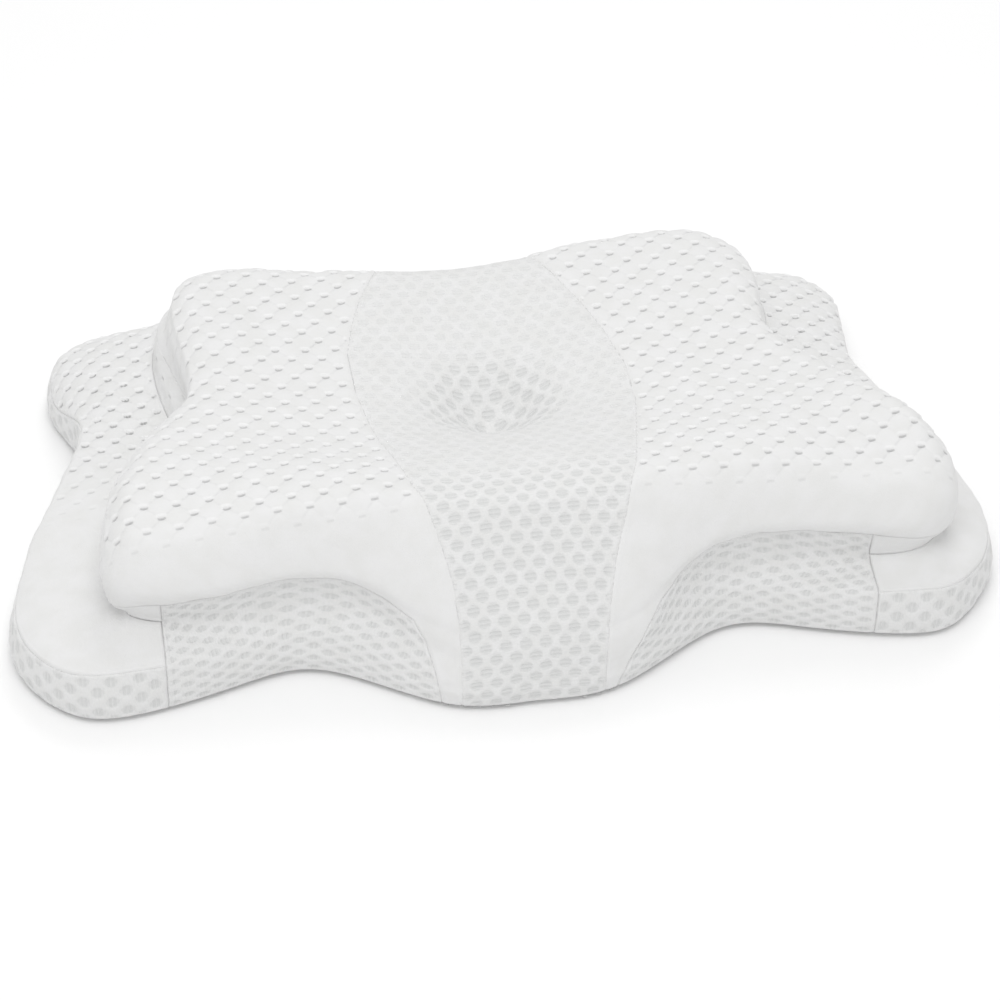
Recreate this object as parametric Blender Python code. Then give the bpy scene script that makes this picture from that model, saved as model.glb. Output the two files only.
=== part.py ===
"""Contoured neck pillow: one foam filling inside a cover sewn from jacquard and mesh panels.

Units are metres and +Z is up. The pillow lies flat on its base with its neck side towards -Y, and
the origin is on the floor under the middle of it. Its lower layer has four wings, and its upper
layer, the plate, has four corners that stand over them.
"""
import bpy
import numpy as np

MM = 0.001

# Cover
COVER = 2.0 * MM  # thickness of a panel
CLEARANCE = 0.3 * MM  # between a panel and the filling
SEAM_GAP = 0.7 * MM  # between two panels

# Outline and side, one row for each station from the middle of the neck side round to the middle of
# the back, right half, in millimetres. base: the lower layer's outline. plate: the upper layer's.
# An "_in" column is a distance inside the base (seam) or the plate (foot, lip, round), a "_z" column
# is a height. seam: top edge of the gusset. crown: highest line of the wing, at a share of the way
# from seam to foot. foot: where the plate's wall stands on the wing. lip: the plate's lower seam.
# nose: the plate's outermost line. round: width of its rounded edge, and slope: 0 where that edge is
# a bull nose, 1 where it is a straight ramp.
COLUMNS = (
    "base_x", "base_y", "plate_x", "plate_y", "seam_in", "seam_z", "crown_part", "crown_z",
    "foot_in", "foot_z", "lip_in", "lip_z", "nose_z", "round_in", "slope",
)
STATIONS = (
    (0, -190, 0, -183, 0, 20, 0.3, 28, -6, 38, -4, 48, 58, 50, 0.7),
    (57, -183, 58, -172, 0, 20, 0.3, 28, -6, 38, -4, 49, 60, 46, 0.6),
    (123, -144, 118, -141, 1, 22, 0.5, 38, 8, 52, 7, 68, 80, 30, 0.2),
    (180, -150, 196, -142, 1, 32, 0.5, 40, 10, 48, 8, 66, 80, 25, 0),
    (246, -166, 247, -145, 1.5, 40, 0.5, 45, 10, 50, 5, 62.5, 80, 26, 0),
    (286, -151, 272, -113, 2.5, 36, 0.4, 44, 12, 50, 3, 59, 80, 26, 0),
    (314, -91, 250, -55, 5, 34, 0.4, 44, 10, 50, 5, 62, 80.5, 25, 0),
    (286.5, -3, 215, 6, 3, 42, 0.4, 46, 6, 50.5, 4, 64, 83, 20, 0),
    (266, 70, 189, 54, 2, 41, 0.4, 46, 0.5, 49, 4.5, 64.5, 87, 21, 0),
    (274, 126, 195, 125, 2.5, 28, 0.4, 44, -10, 51, 4.5, 66, 82, 25, 0),
    (250, 178, 159, 166, 3, 32, 0.4, 44, -3, 54, 3, 63, 83, 22.5, 0),
    (125, 169, 88, 165, 1, 25, 0.4, 38, 5, 49, 3, 64, 80, 22, 0),
    (0, 160, 0, 151, 0, 25, 0.4, 38, 3, 50, 2, 64, 79, 22, 0),
)
# The plate is sewn on a little to the right. What the left half adds to the table: its front corner
# and its back edge are drawn in, and its wall leans out towards the back. Station, column, change.
PLATE_SHIFT = 7.6
LEFT_CHANGES = (
    (4, "plate_y", 8.0), (5, "plate_x", 10.0), (5, "base_x", -4.0), (7, "base_x", 2.5),
    (8, "base_x", 8.0), (8, "base_y", 3.0), (8, "plate_x", -5.5), (8, "plate_y", -9.0),
    (8, "foot_in", -9.0), (9, "plate_x", -5.5), (9, "foot_in", -1.5), (9, "lip_in", -11.5),
    (9, "seam_z", -7.0), (9, "nose_z", -3.0), (10, "plate_x", -8.0), (10, "lip_in", -9.0),
    (10, "crown_z", -3.0), (10, "seam_z", -2.0), (10, "nose_z", -3.0), (11, "plate_y", -7.0),
)

# Bottom edge of the side: height, and distance inside the base outline
BOTTOM_ROUND = ((0.0, 7.0), (3.0, 2.0), (11.0, 0.0))
GUSSET_BULGE = 0.8
SHOULDER_PART = 0.25  # of the way from seam to crown, a ring that lies at half their rise
WALL_PART = 0.4  # of the way from foot to lip, a ring at half their rise
LIP_PART = 0.3  # of the lip's distance inside the plate, a ring half-way from lip to nose

# Top of the plate, in millimetres: a general height, the neck roll across the front, a shallow
# basin for the head with a deep dimple in it, and the front corners' fall.
TOP_HEIGHT = 96.5
NECK_ROLL = {"height": 23.5, "y": -121.0, "width": 68.0, "bow": 7.0}
BASIN = {"depth": 11.0, "y": 25.0, "width": 95.0, "length": 75.0}
DIMPLE = {"depth": 34.0, "x": 5.0, "y": 12.0, "radius": 31.0, "power": 1.6}
SIDE_RISE = {"height": 2.3, "x": 200.0}
FRONT_CORNER = {"height": -9.0, "x": 225.0, "y": -110.0, "width": 70.0, "length": 60.0}

# Seams that run across the outline, in millimetres. Half-width of the centre panel by y, and of the
# smooth strip beside it by height: (place, left, right).
CENTRE_SEAM = (
    (-190, 45, 44), (-176, 45, 47), (-160, 47, 53), (-140, 54, 63), (-110, 64, 74), (-60, 71, 85),
    (-20, 77, 93), (20, 81, 95), (60, 81, 88), (90, 74, 79), (115, 65, 69), (140, 53, 57), (165, 46, 49),
)
STRIP_EDGE = (
    (0, 56, 52), (10, 57.5, 54), (27, 60.5, 62), (44, 65, 72), (58, 72, 84), (70, 84, 98),
    (90, 110, 125),
)
WING_END_X = 221.0  # vertical seam at the front end of each wing
FRONT_Y = -70.0  # both seams above end the front wall, which lies beyond this line
FAR = 1000.0  # how far behind that line a point counts as being outside them
SNAP = 0.5  # a grid point this near a seam lies on it

# Grid
STEPS = 3  # grid columns for each station
OUTWARD_REACH = 0.5  # stations on either side that set which way is out of an outline
EDGE_PARTS = (0.2, 0.4, 0.6, 0.8, 1.0)  # rings round the plate's edge
LEAST_FACING = 0.55  # how far those rings may run askew of the outline
INNER_RINGS = 9
INNER_POWER = 1.35  # above 1 the inner rings draw together towards the dimple
ROUND_RADIUS = 150.0  # radius of the circle that the inner rings turn into
ROUND_POWER = 1.7  # how fast they do
SHARP_ANGLE = 35.0  # degrees between two faces from which their edge is drawn sharp

# Rings of the grid that carry a seam
BOTTOM_RING = 1
GUSSET_RING = 4
FOOT_RING = 7
LIP_RING = 9

# Columns of the surface's points: place 0:3, normal 3:6, then ring and seam values
RING, CENTRE, STRIP, WING_END = 6, 7, 8, 9

COLOURS = {
    "jacquard": (0.84, 0.84, 0.83),
    "mesh": (0.78, 0.78, 0.77),
    "filling": (0.80, 0.79, 0.76),
}


def closed_curve(values, places):
    """A smooth closed curve through the rows of values, read at places (1.0 for each row)."""
    values = np.asarray(values, float)
    count = len(values)
    row = np.arange(count)
    system = np.zeros((count, count))
    system[row, row] = 4.0
    system[row, (row + 1) % count] = 1.0
    system[row, (row - 1) % count] = 1.0
    bends = 6.0 * (np.roll(values, -1, 0) - 2.0 * values + np.roll(values, 1, 0))
    bend = np.linalg.solve(system, bends)
    first = np.floor(places).astype(int) % count
    second = (first + 1) % count
    b = (places % 1.0)[:, None]
    a = 1.0 - b
    straight = a * values[first] + b * values[second]
    return straight + ((a**3 - a) * bend[first] + (b**3 - b) * bend[second]) / 6.0


def hump(x, y, shape):
    """One on the middle of a pair of corner shapes, falling to nothing round it."""
    across = (np.abs(x) - shape["x"]) / shape["width"]
    along = (y - shape["y"]) / shape["length"]
    return shape["height"] * np.exp(-(across**2) - along**2)


def top_height(x, y):
    roll_y = NECK_ROLL["y"] + NECK_ROLL["bow"] * (x / 100.0) ** 2
    height = TOP_HEIGHT + NECK_ROLL["height"] * np.exp(-(((y - roll_y) / NECK_ROLL["width"]) ** 2))
    across, along = x / BASIN["width"], (y - BASIN["y"]) / BASIN["length"]
    height -= BASIN["depth"] * np.exp(-(across**2) - along**2)
    radius = np.hypot(x - DIMPLE["x"], y - DIMPLE["y"]) / DIMPLE["radius"]
    height -= DIMPLE["depth"] * np.exp(-(radius ** DIMPLE["power"]))
    height += SIDE_RISE["height"] * (x / SIDE_RISE["x"]) ** 2
    return height + hump(x, y, FRONT_CORNER)


def outward(before, after):
    """Unit vectors in plan that point out of a closed line, from its points on either side."""
    along = after - before
    across = np.stack([along[:, 1], -along[:, 0]], 1)
    return across / np.linalg.norm(across, axis=1)[:, None]


def station_table():
    """The station table for the whole way round, the left half made from the right one."""
    half = np.array(STATIONS, float)
    table = np.concatenate([half, half[-2:0:-1]])
    table[len(half):, [COLUMNS.index("base_x"), COLUMNS.index("plate_x")]] *= -1.0
    table[:, COLUMNS.index("plate_x")] += PLATE_SHIFT
    for station, column, change in LEFT_CHANGES:
        table[len(table) - station, COLUMNS.index(column)] += change
    return table


def rings():
    """The pillow's outer surface in millimetres: rings from the floor up and over to the dimple."""
    table = station_table()
    places = np.arange(len(table) * STEPS) / STEPS
    read = closed_curve(table, places)
    before, after = (closed_curve(table, places + reach) for reach in (-OUTWARD_REACH, OUTWARD_REACH))
    s = {name: read[:, [index]] for index, name in enumerate(COLUMNS)}
    base, plate = read[:, 0:2], read[:, 2:4]
    base_out, plate_out = (outward(before[:, xy], after[:, xy]) for xy in (slice(0, 2), slice(2, 4)))
    seam = base - base_out * s["seam_in"]
    foot = plate - plate_out * s["foot_in"]
    lip = plate - plate_out * s["lip_in"]
    crown = seam + (foot - seam) * s["crown_part"]
    found = [(base - base_out * inside, height) for height, inside in BOTTOM_ROUND]
    found += [
        ((base + seam) / 2 + base_out * GUSSET_BULGE, (BOTTOM_ROUND[-1][0] + s["seam_z"]) / 2),
        (seam, s["seam_z"]),
        (seam + (crown - seam) * SHOULDER_PART, (s["seam_z"] + s["crown_z"]) / 2),
        (crown, s["crown_z"]),
        (foot, s["foot_z"]),
        (foot + (lip - foot) * WALL_PART, (s["foot_z"] + s["lip_z"]) / 2),
        (lip, s["lip_z"]),
        (plate - plate_out * s["lip_in"] * LIP_PART, (s["lip_z"] + s["nose_z"]) / 2),
        (plate, s["nose_z"]),
    ]
    # The plate's edge rounds over towards the dimple, so that its columns never cross at a corner.
    middle = np.array([DIMPLE["x"], DIMPLE["y"]])
    inward = (middle - plate) / np.linalg.norm(middle - plate, axis=1)[:, None]
    facing = -(inward * plate_out).sum(1)
    inward /= np.maximum(facing, LEAST_FACING)[:, None]
    for part in EDGE_PARTS:
        turn = part * np.pi / 2
        inside = s["round_in"] * ((1 - s["slope"]) * (1 - np.cos(turn)) + s["slope"] * part)
        share = (1 - s["slope"]) * np.sin(turn) + s["slope"] * part
        edge = plate + inward * inside
        height = top_height(edge[:, :1], edge[:, 1:])
        found.append((edge, s["nose_z"] + (height - s["nose_z"]) * share))
    reach = np.linalg.norm(edge - middle, axis=1)[:, None]
    for step in range(1, INNER_RINGS + 1):
        share = (1 - step / (INNER_RINGS + 1)) ** INNER_POWER
        length = share * ROUND_RADIUS + (reach - ROUND_RADIUS) * share**ROUND_POWER
        ring = middle + (edge - middle) / reach * length
        found.append((ring, top_height(ring[:, :1], ring[:, 1:])))
    return np.array([np.hstack([line, height + 0 * line[:, :1]]) for line, height in found])


class Surface:
    """The outer surface as triangles whose points carry a place, a normal, a ring and seam values."""

    def __init__(self):
        grid = rings()
        self.ring_count, self.columns = grid.shape[:2]
        pole = [[DIMPLE["x"], DIMPLE["y"], top_height(DIMPLE["x"], DIMPLE["y"])]]
        points = np.concatenate([grid.reshape(-1, 3), pole])
        low, high = points.min(0), points.max(0)
        self.shift = np.array([(low[0] + high[0]) / 2, (low[1] + high[1]) / 2, 0.0])
        self.triangles = self.grid_triangles()
        ring = np.repeat(np.arange(self.ring_count), self.columns)
        fields = self.seam_values(points)
        normals = self.point_normals(points)
        ring = np.append(ring, self.ring_count)[:, None]
        self.data = np.hstack([points - self.shift, normals, ring, fields])
        self.whole = (self.data.copy(), list(self.triangles))
        self.cut(CENTRE, self.ring_count)
        self.cut(STRIP, LIP_RING)
        self.cut(WING_END, LIP_RING)

    def grid_triangles(self):
        found = []
        half = self.columns // 2
        for ring in range(self.ring_count):
            for column in range(self.columns):
                after = (column + 1) % self.columns
                a, b = ring * self.columns + column, ring * self.columns + after
                c, d = a + self.columns, b + self.columns
                if ring == self.ring_count - 1:
                    found.append((a, b, self.ring_count * self.columns))
                elif column < half:
                    found += [(a, b, d), (a, d, c)]
                else:
                    found += [(a, b, c), (b, d, c)]
        return found

    def seam_values(self, points):
        """How far each point lies outside the centre seam, the strip's edge and the wing's end."""
        x, y, z = points.T
        centre = np.array(CENTRE_SEAM, float)
        strip = np.array(STRIP_EDGE, float)
        left, right = (np.interp(y, centre[:, 0], centre[:, side]) for side in (1, 2))
        out_of_centre = np.abs(x) - np.where(x < 0, left, right)
        left, right = (np.interp(z, strip[:, 0], strip[:, side]) for side in (1, 2))
        out_of_strip = np.abs(x) - np.where(x < 0, left, right)
        past_end = np.abs(x) - WING_END_X
        front = y < FRONT_Y
        return np.stack(
            [out_of_centre, np.where(front, out_of_strip, FAR), np.where(front, past_end, FAR)], 1
        )

    def point_normals(self, points):
        corners = points[np.array(self.triangles)]
        across = np.cross(corners[:, 1] - corners[:, 0], corners[:, 2] - corners[:, 0])
        normals = np.zeros_like(points)
        for corner in range(3):
            np.add.at(normals, np.array(self.triangles)[:, corner], across)
        return normals / np.linalg.norm(normals, axis=1)[:, None]

    def cut(self, field, highest_ring):
        """Splits the triangles along a seam, up to a ring, and leaves no crack between them."""
        values = self.data[:, field]
        values[np.abs(values) < SNAP] = 0.0
        rows = list(self.data)
        made = {}

        def middle(a, b):
            key = (min(a, b), max(a, b))
            first, second = rows[key[0]], rows[key[1]]
            if first[field] * second[field] >= 0 or max(first[RING], second[RING]) > highest_ring:
                return None
            if key not in made:
                share = first[field] / (first[field] - second[field])
                row = first + (second - first) * share
                row[field] = 0.0
                made[key] = len(rows)
                rows.append(row)
            return made[key]

        found = []
        for triangle in self.triangles:
            split = [middle(triangle[k], triangle[(k + 1) % 3]) for k in range(3)]
            cuts = sum(point is not None for point in split)
            if cuts == 0:
                found.append(triangle)
            elif cuts == 1:
                k = next(k for k in range(3) if split[k] is not None)
                a, b, c = (triangle[(k + turn) % 3] for turn in range(3))
                found += [(a, split[k], c), (split[k], b, c)]
            else:
                k = next(k for k in range(3) if split[(k + 1) % 3] is None)
                a, b, c = (triangle[(k + turn) % 3] for turn in range(3))
                ab, ca = split[k], split[(k + 2) % 3]
                found += [(a, ab, ca), (ab, b, c), (ab, c, ca)]
        self.data = np.array(rows)
        self.triangles = found


def make_material(name, colour):
    material = bpy.data.materials.new(name)
    material.use_nodes = True
    shader = material.node_tree.nodes["Principled BSDF"]
    shader.inputs["Base Color"].default_value = (*colour, 1.0)
    shader.inputs["Roughness"].default_value = 0.9
    shader.inputs["Metallic"].default_value = 0.0
    return material


def add_object(name, points, faces, cloth):
    mesh = bpy.data.meshes.new(name)
    mesh.from_pydata([tuple(point * MM) for point in points], [], faces)
    mesh.validate()
    mesh.shade_smooth()
    mesh.set_sharp_from_angle(angle=np.radians(SHARP_ANGLE))
    mesh.materials.append(make_material(name, COLOURS[cloth]))
    made = bpy.data.objects.new(name, mesh)
    bpy.context.scene.collection.objects.link(made)
    return made


def border_loops(triangles):
    """Edges with a triangle on one side only, as (from, to, third corner)."""
    edges = {}
    for a, b, c in triangles:
        for start, end, third in ((a, b, c), (b, c, a), (c, a, b)):
            edges[(start, end)] = third
    return [(a, b, third) for (a, b), third in edges.items() if (b, a) not in edges]


def add_panel(surface, name, cloth, belongs):
    """A panel of the cover: the triangles that belong to it, as a sheet with a thickness."""
    corners = surface.data[np.array(surface.triangles)].mean(1)
    chosen = [surface.triangles[index] for index in np.flatnonzero(belongs(corners))]
    used = sorted({point for triangle in chosen for point in triangle})
    number = {point: index for index, point in enumerate(used)}
    triangles = [tuple(number[point] for point in triangle) for triangle in chosen]
    rows = surface.data[used]
    places, normals = rows[:, :3].copy(), rows[:, 3:6]
    border = border_loops(triangles)
    pull = np.zeros_like(places)
    for a, b, third in border:
        along = places[b] - places[a]
        along /= np.linalg.norm(along)
        inward = places[third] - places[a]
        inward -= along * inward.dot(along)
        inward /= np.linalg.norm(inward)
        pull[a] += inward
        pull[b] += inward
    length = np.linalg.norm(pull, axis=1)
    edge = length > 0
    # Two border edges that meet at an angle move their corner by more than either of them.
    pull[edge] *= (SEAM_GAP / 2 / MM * 2.0 / np.maximum(length[edge], 1.0) ** 2)[:, None]
    places += pull
    inner = places - normals * (COVER / MM)
    count = len(places)
    faces = list(triangles)
    faces += [(c + count, b + count, a + count) for a, b, c in triangles]
    faces += [(b, a, a + count, b + count) for a, b, _ in border]
    return add_object(name, np.concatenate([places, inner]), faces, cloth)


def add_filling(surface):
    """The filled pillow under the panels, closed by its flat base."""
    data, triangles = surface.whole
    places, normals = data[:, :3], data[:, 3:6]
    depth = (COVER + CLEARANCE) / MM
    inner = places - normals * depth
    floor = slice(0, surface.columns)
    line = places[floor, :2]
    inner[floor, :2] = line - outward(np.roll(line, 1, 0), np.roll(line, -1, 0)) * depth
    inner[floor, 2] = 0.0
    base = tuple(range(surface.columns))[::-1]
    return add_object("pillow_body", inner, [*triangles, base], "filling")


def add_cover(surface):
    def between(rows, low, high):
        return (rows[:, RING] > low) & (rows[:, RING] < high)

    def centre_panel(rows):
        return (rows[:, RING] > BOTTOM_RING) & (rows[:, CENTRE] < 0)

    add_panel(surface, "centre_mesh_panel", "mesh", centre_panel)
    for side, sign in (("left", -1), ("right", 1)):

        def on_side(rows, sign=sign):
            return (rows[:, CENTRE] > 0) & (rows[:, 0] * sign > 0)

        def top_panel(rows):
            strip_part = between(rows, BOTTOM_RING, LIP_RING) & (rows[:, STRIP] < 0)
            return on_side(rows) & ((rows[:, RING] > LIP_RING) | strip_part)

        def side_strip(rows):
            return on_side(rows) & between(rows, FOOT_RING, LIP_RING) & (rows[:, WING_END] > 0)

        def wing_panel(rows):
            return on_side(rows) & between(rows, GUSSET_RING, FOOT_RING) & (rows[:, WING_END] > 0)

        def wing_gusset(rows):
            return on_side(rows) & between(rows, BOTTOM_RING, GUSSET_RING) & (rows[:, WING_END] > 0)

        def front_mesh(rows):
            wall = between(rows, BOTTOM_RING, LIP_RING)
            return on_side(rows) & wall & (rows[:, STRIP] > 0) & (rows[:, WING_END] < 0)

        add_panel(surface, f"top_panel_{side}", "jacquard", top_panel)
        add_panel(surface, f"side_strip_{side}", "jacquard", side_strip)
        add_panel(surface, f"wing_panel_{side}", "jacquard", wing_panel)
        add_panel(surface, f"wing_gusset_{side}", "mesh", wing_gusset)
        add_panel(surface, f"front_mesh_{side}", "mesh", front_mesh)


def main():
    for old in list(bpy.data.objects):
        bpy.data.objects.remove(old)
    surface = Surface()
    add_filling(surface)
    add_cover(surface)


main()
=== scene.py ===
"""Looks of the contoured neck pillow: the sewn cover over its filling, a pale floor, lights, a camera.

Shapes are worked out in millimetres, in the same frame as the part, and become metres in put_mesh.
The cover is sewn from jacquard panels, whose scales are held down by short tucks, and mesh panels,
whose round cells lie in staggered rows. Both repeats are relief in the panels' own points; the materials
add painted shade in the tucks, creases and cells and a painted highlight above the tucks.
"""

import bpy
import numpy as np
from mathutils import Matrix, Vector


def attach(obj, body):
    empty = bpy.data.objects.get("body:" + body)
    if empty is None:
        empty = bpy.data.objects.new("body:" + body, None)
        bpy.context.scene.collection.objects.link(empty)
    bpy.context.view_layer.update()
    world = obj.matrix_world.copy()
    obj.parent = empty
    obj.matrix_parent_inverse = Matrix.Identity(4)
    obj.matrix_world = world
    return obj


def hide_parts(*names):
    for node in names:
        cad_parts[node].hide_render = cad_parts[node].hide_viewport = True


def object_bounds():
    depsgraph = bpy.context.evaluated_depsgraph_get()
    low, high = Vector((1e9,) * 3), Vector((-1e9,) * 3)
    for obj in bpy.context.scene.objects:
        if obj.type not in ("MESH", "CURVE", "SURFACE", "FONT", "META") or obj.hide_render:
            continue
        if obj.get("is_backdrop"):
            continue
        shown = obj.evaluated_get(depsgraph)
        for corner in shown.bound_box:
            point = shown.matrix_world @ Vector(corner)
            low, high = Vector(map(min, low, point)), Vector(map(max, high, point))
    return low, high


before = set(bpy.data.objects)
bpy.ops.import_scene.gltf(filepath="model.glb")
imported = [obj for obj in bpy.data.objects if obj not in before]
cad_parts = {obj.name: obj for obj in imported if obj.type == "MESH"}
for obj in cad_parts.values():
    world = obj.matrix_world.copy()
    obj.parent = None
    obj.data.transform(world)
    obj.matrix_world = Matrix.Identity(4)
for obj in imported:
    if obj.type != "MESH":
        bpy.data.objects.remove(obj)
CAD_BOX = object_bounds()

MM = 0.001

# Outline and side of the pillow, one row for each station from the middle of the neck side round to
# the middle of the back, right half. The columns mean what they mean in the part's source.
COLUMNS = (
    "base_x", "base_y", "plate_x", "plate_y", "seam_in", "seam_z", "crown_part", "crown_z",
    "foot_in", "foot_z", "lip_in", "lip_z", "nose_z", "round_in", "slope",
)
STATIONS = (
    (0, -190, 0, -183, 0, 20, 0.3, 28, -6, 38, -4, 48, 58, 50, 0.7),
    (57, -183, 58, -172, 0, 20, 0.3, 28, -6, 38, -4, 49, 60, 46, 0.6),
    (123, -144, 118, -141, 1, 22, 0.5, 38, 8, 52, 7, 68, 80, 30, 0.2),
    (180, -150, 196, -142, 1, 32, 0.5, 40, 10, 48, 8, 66, 80, 25, 0),
    (246, -166, 247, -145, 1.5, 40, 0.5, 45, 10, 50, 5, 62.5, 80, 26, 0),
    (286, -151, 272, -113, 2.5, 36, 0.4, 44, 12, 50, 3, 59, 80, 26, 0),
    (314, -91, 250, -55, 5, 34, 0.4, 44, 10, 50, 5, 62, 80.5, 25, 0),
    (286.5, -3, 215, 6, 3, 42, 0.4, 46, 6, 50.5, 4, 64, 83, 20, 0),
    (266, 70, 189, 54, 2, 41, 0.4, 46, 0.5, 49, 4.5, 64.5, 87, 21, 0),
    (274, 126, 195, 125, 2.5, 28, 0.4, 44, -10, 51, 4.5, 66, 82, 25, 0),
    (250, 178, 159, 166, 3, 32, 0.4, 44, -3, 54, 3, 63, 83, 22.5, 0),
    (125, 169, 88, 165, 1, 25, 0.4, 38, 5, 49, 3, 64, 80, 22, 0),
    (0, 160, 0, 151, 0, 25, 0.4, 38, 3, 50, 2, 64, 79, 22, 0),
)
PLATE_SHIFT = 7.6
LEFT_CHANGES = (
    (4, "plate_y", 8.0), (5, "plate_x", 10.0), (5, "base_x", -4.0), (7, "base_x", 2.5),
    (8, "base_x", 8.0), (8, "base_y", 3.0), (8, "plate_x", -5.5), (8, "plate_y", -9.0),
    (8, "foot_in", -9.0), (9, "plate_x", -5.5), (9, "foot_in", -1.5), (9, "lip_in", -11.5),
    (9, "seam_z", -7.0), (9, "nose_z", -3.0), (10, "plate_x", -8.0), (10, "lip_in", -9.0),
    (10, "crown_z", -3.0), (10, "seam_z", -2.0), (10, "nose_z", -3.0), (11, "plate_y", -7.0),
)
BOTTOM_ROUND = ((0.0, 7.0), (3.0, 2.0), (11.0, 0.0))
GUSSET_BULGE = 0.8
TOP_HEIGHT = 96.5
NECK_ROLL = {"height": 23.5, "y": -121.0, "width": 68.0, "bow": 7.0}
BASIN = {"depth": 11.0, "y": 25.0, "width": 95.0, "length": 75.0}
DIMPLE = {"depth": 34.0, "x": 5.0, "y": 12.0, "radius": 31.0, "power": 1.6}
SIDE_RISE = {"height": 2.3, "x": 200.0}
FRONT_CORNER = {"height": -9.0, "x": 225.0, "y": -110.0, "width": 70.0, "length": 60.0}
CENTRE_SEAM = (
    (-190, 45, 44), (-176, 45, 47), (-160, 47, 53), (-140, 54, 63), (-110, 64, 74), (-60, 71, 85),
    (-20, 77, 93), (20, 81, 95), (60, 81, 88), (90, 74, 79), (115, 65, 69), (140, 53, 57),
    (165, 46, 49),
)
STRIP_EDGE = (
    (0, 56, 52), (10, 57.5, 54), (27, 60.5, 62), (44, 65, 72), (58, 72, 84), (70, 84, 98),
    (90, 110, 125),
)
WING_END_X = 221.0
FRONT_Y = -70.0
FAR = 1000.0

# Rings of the profile, from the floor up
OUTWARD_REACH = 0.5
PART_STEPS = 3
EDGE_PARTS = (0.2, 0.4, 0.6, 0.8, 1.0)
LEAST_FACING = 0.55
BOTTOM_RING = 1
GUSSET_RING = 4
FOOT_RING = 7
LIP_RING = 9
RIM_LINE_RING = 13
RIM_RING = 16
PAST_RIM = 12.0  # length of the short ring inside the rim that only steers the curve

# Fineness
STATION_STEPS = 40  # columns of the fine table for each station
RING_STEPS = 12  # its rows for each ring
ARC_STEP = 0.5  # of the tables that are read by length along the cloth
JACQUARD_SPACING = 1.3
CENTRE_SPACING = 1.1
WALL_SPACING = 1.25

# Repeats: pitch along a row and from one row to the next, and half a mesh cell as shares of the two
JACQUARD = {"pitch": 19.6, "row": 9.2}
HEX = {"pitch": 12.1, "row": 8.2, "across": 0.33, "along": 0.49}
GUSSET_HEX = {"pitch": 17.8, "row": 7.9, "across": 0.235, "along": 0.55}
FRONT_HEX = {"pitch": 18.6, "row": 4.3, "across": 0.235, "along": 0.49}

# Relief
TUCK = {"depth": 1.0, "half": 2.6, "width": 1.1, "lip": 0.8, "lip_half": 3.38, "lip_at": 2.4,
        "lip_width": 1.2}
SCALE = {"height": 1.9, "rising": 0.65, "falling": 0.35, "power": 0.55, "level": 0.6}  # two creases
CELL_DEPTH = 0.9
FLAT_PATTERN = 0.22  # the centre panel's cells are stretched nearly flat on top of the plate
SEAM = {"groove": 0.45, "narrow": 0.9, "ridge": 0.3, "ridge_at": 2.2, "ridge_width": 1.1,
        "draw": 0.35, "draw_width": 5.0}
PATTERN_STARTS = (1.0, 4.0)  # how far from a seam the pattern begins, and is whole
SEAM_OVERLAP = 0.15  # so that no crack shows where two panels meet
LEAST_CUT = 0.12  # a cut leaves no thinner sliver beside it
RIM_LINE = {"height": 0.9, "width": 2.0, "hollow": 0.6, "hollow_at": 5.5, "hollow_width": 3.0,
            "right_share": 0.35, "starts": (-125, -85)}
WING_ROWS = 1.12  # rows lie closer on the wings
GATHER = {"height": 0.8, "pitch": 9.0, "reach": 16.0, "lean": 0.35, "level": 0.6,
          "starts": (0, 3)}  # pleats at the wing's outer seam
UNEVEN = (  # height, wavelength, direction in degrees and phase of the cover's slow waves
    (0.55, 118.0, 20.0, 0.4), (0.45, 83.0, 105.0, 2.1), (0.35, 61.0, 62.0, 4.0),
    (0.22, 37.0, 151.0, 1.3), (0.16, 27.0, 8.0, 5.2), (0.10, 17.0, 84.0, 3.3),
)
UNEVEN_BEND = {"rise": 0.4, "length": 2.3, "turn": 1.1}
UNEVEN_STARTS = (2, 20)  # heights above the floor
HEM = 1.5  # how far a panel's edge turns in at its seams
FLAT_SPARE = 1.001  # a panel's flat cloth is at least this much of its area

# Where each pattern shows: places along y in pairs, from nothing to whole
TOP_PATTERN = {"starts": (-134, -112), "edge": (-1, 5), "edge_loss": 0.75}
WING_PATTERN = {"strength": 1.3, "starts": (-40, 60)}
STRIP_PATTERN = {"strength": 0.6, "starts": (-10, 60)}
CENTRE_FLAT = {"starts": (-118, -88), "dimple": (34, 52)}

# Where a seam doesn't show
WALL_STARTS = (-20, 10)  # along y, on the left
TOP_WALL = (6, 12)  # past the line at the plate's edge
WING_FOOT = (0.6, 0.75)  # shares of the panel's height
STRIP_FOOT = (0.3, 0.5)
STRIP_LIP = (0.4, 0.6)

# Stretches that the panels are cut from
TOP_CLOTH = {"x": (0, 350), "y": (-300, 270)}
CENTRE_HALF = 98
CENTRE_WALLS = (("front", 0, 2.1), ("back", 12, 1.15))  # middle station, and stations to each side
CLOTH_SPARE = 2  # beyond the bottom, before the cut
CUT_MARGIN = 3
SHARE_SAMPLES = 4000

FILLING = {"inset": 3.4, "column_step": 4, "ring_step": 4, "inner_rings": 24, "power": 1.2}
UNDER_THE_MIDDLE = (0, 0, -200)


def closed_curve(values, places):
    """A smooth closed curve through the rows of values, read at places (1.0 for each row)."""
    values = np.asarray(values, float)
    count = len(values)
    row = np.arange(count)
    system = np.zeros((count, count))
    system[row, row] = 4.0
    system[row, (row + 1) % count] = 1.0
    system[row, (row - 1) % count] = 1.0
    bends = 6.0 * (np.roll(values, -1, 0) - 2.0 * values + np.roll(values, 1, 0))
    bend = np.linalg.solve(system, bends)
    first = np.floor(places).astype(int) % count
    second = (first + 1) % count
    b = (places % 1.0)[:, None]
    a = 1.0 - b
    straight = a * values[first] + b * values[second]
    return straight + ((a**3 - a) * bend[first] + (b**3 - b) * bend[second]) / 6.0


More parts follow.
